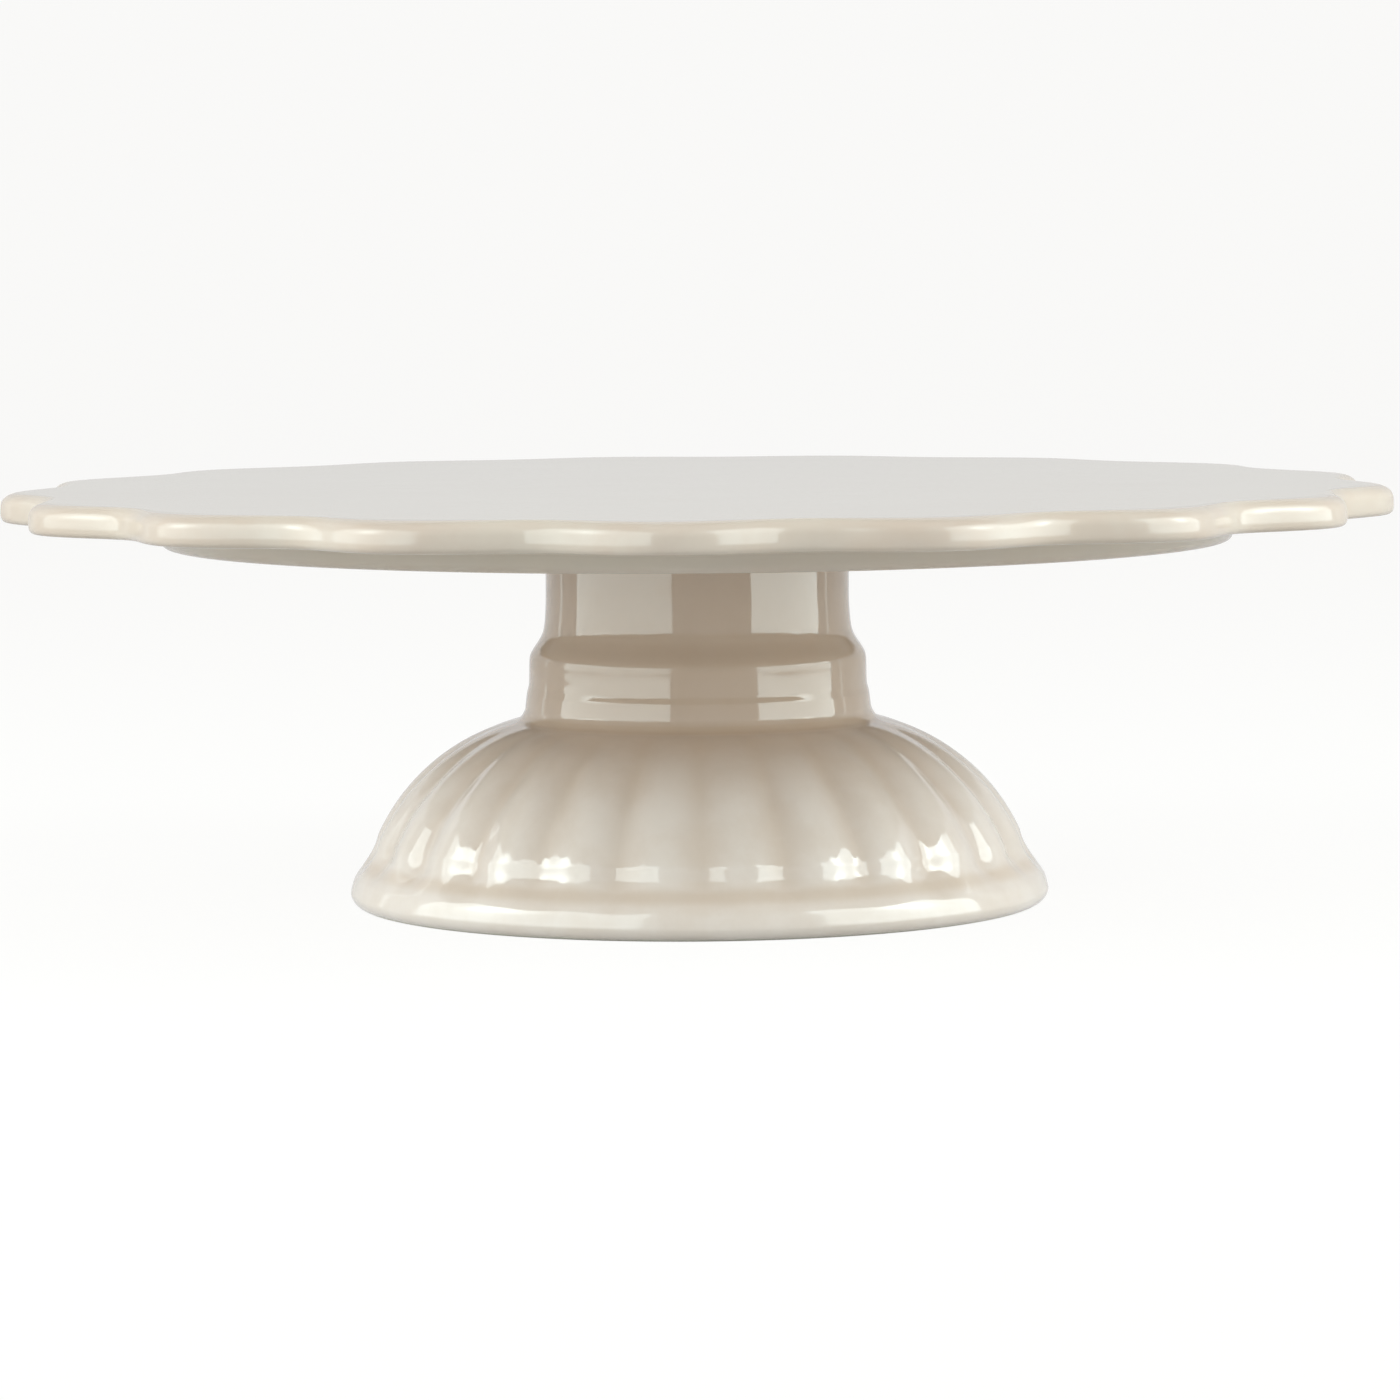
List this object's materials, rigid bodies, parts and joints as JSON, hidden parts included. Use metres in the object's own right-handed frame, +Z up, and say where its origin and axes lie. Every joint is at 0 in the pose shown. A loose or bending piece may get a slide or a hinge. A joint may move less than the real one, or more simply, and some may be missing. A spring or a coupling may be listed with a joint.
{
  "type": "cake stand",
  "caption": "Low glazed ceramic cake stand: a flat round plate with a scalloped rim on a hollow fluted pedestal with a beaded neck and a rolled base.",
  "frame": {"origin": "on the stand's axis, in the plane that it rests on", "axes": "+Z up along the axis to the plate's flat top; -Y towards the front; +X to the right seen from the front"},
  "size_m": [0.2965, 0.2964, 0.0897],
  "materials": {
    "plate_glaze": "glossy warm grey-beige glaze",
    "fired_slip": "fired luting slip under the same glaze",
    "pedestal_glaze": "glossy warm grey-beige glaze"
  },
  "bodies": {
    "root": {"plate": "plate_glaze", "slip_joint": "fired_slip", "pedestal": "pedestal_glaze"}
  },
  "joints": []
}
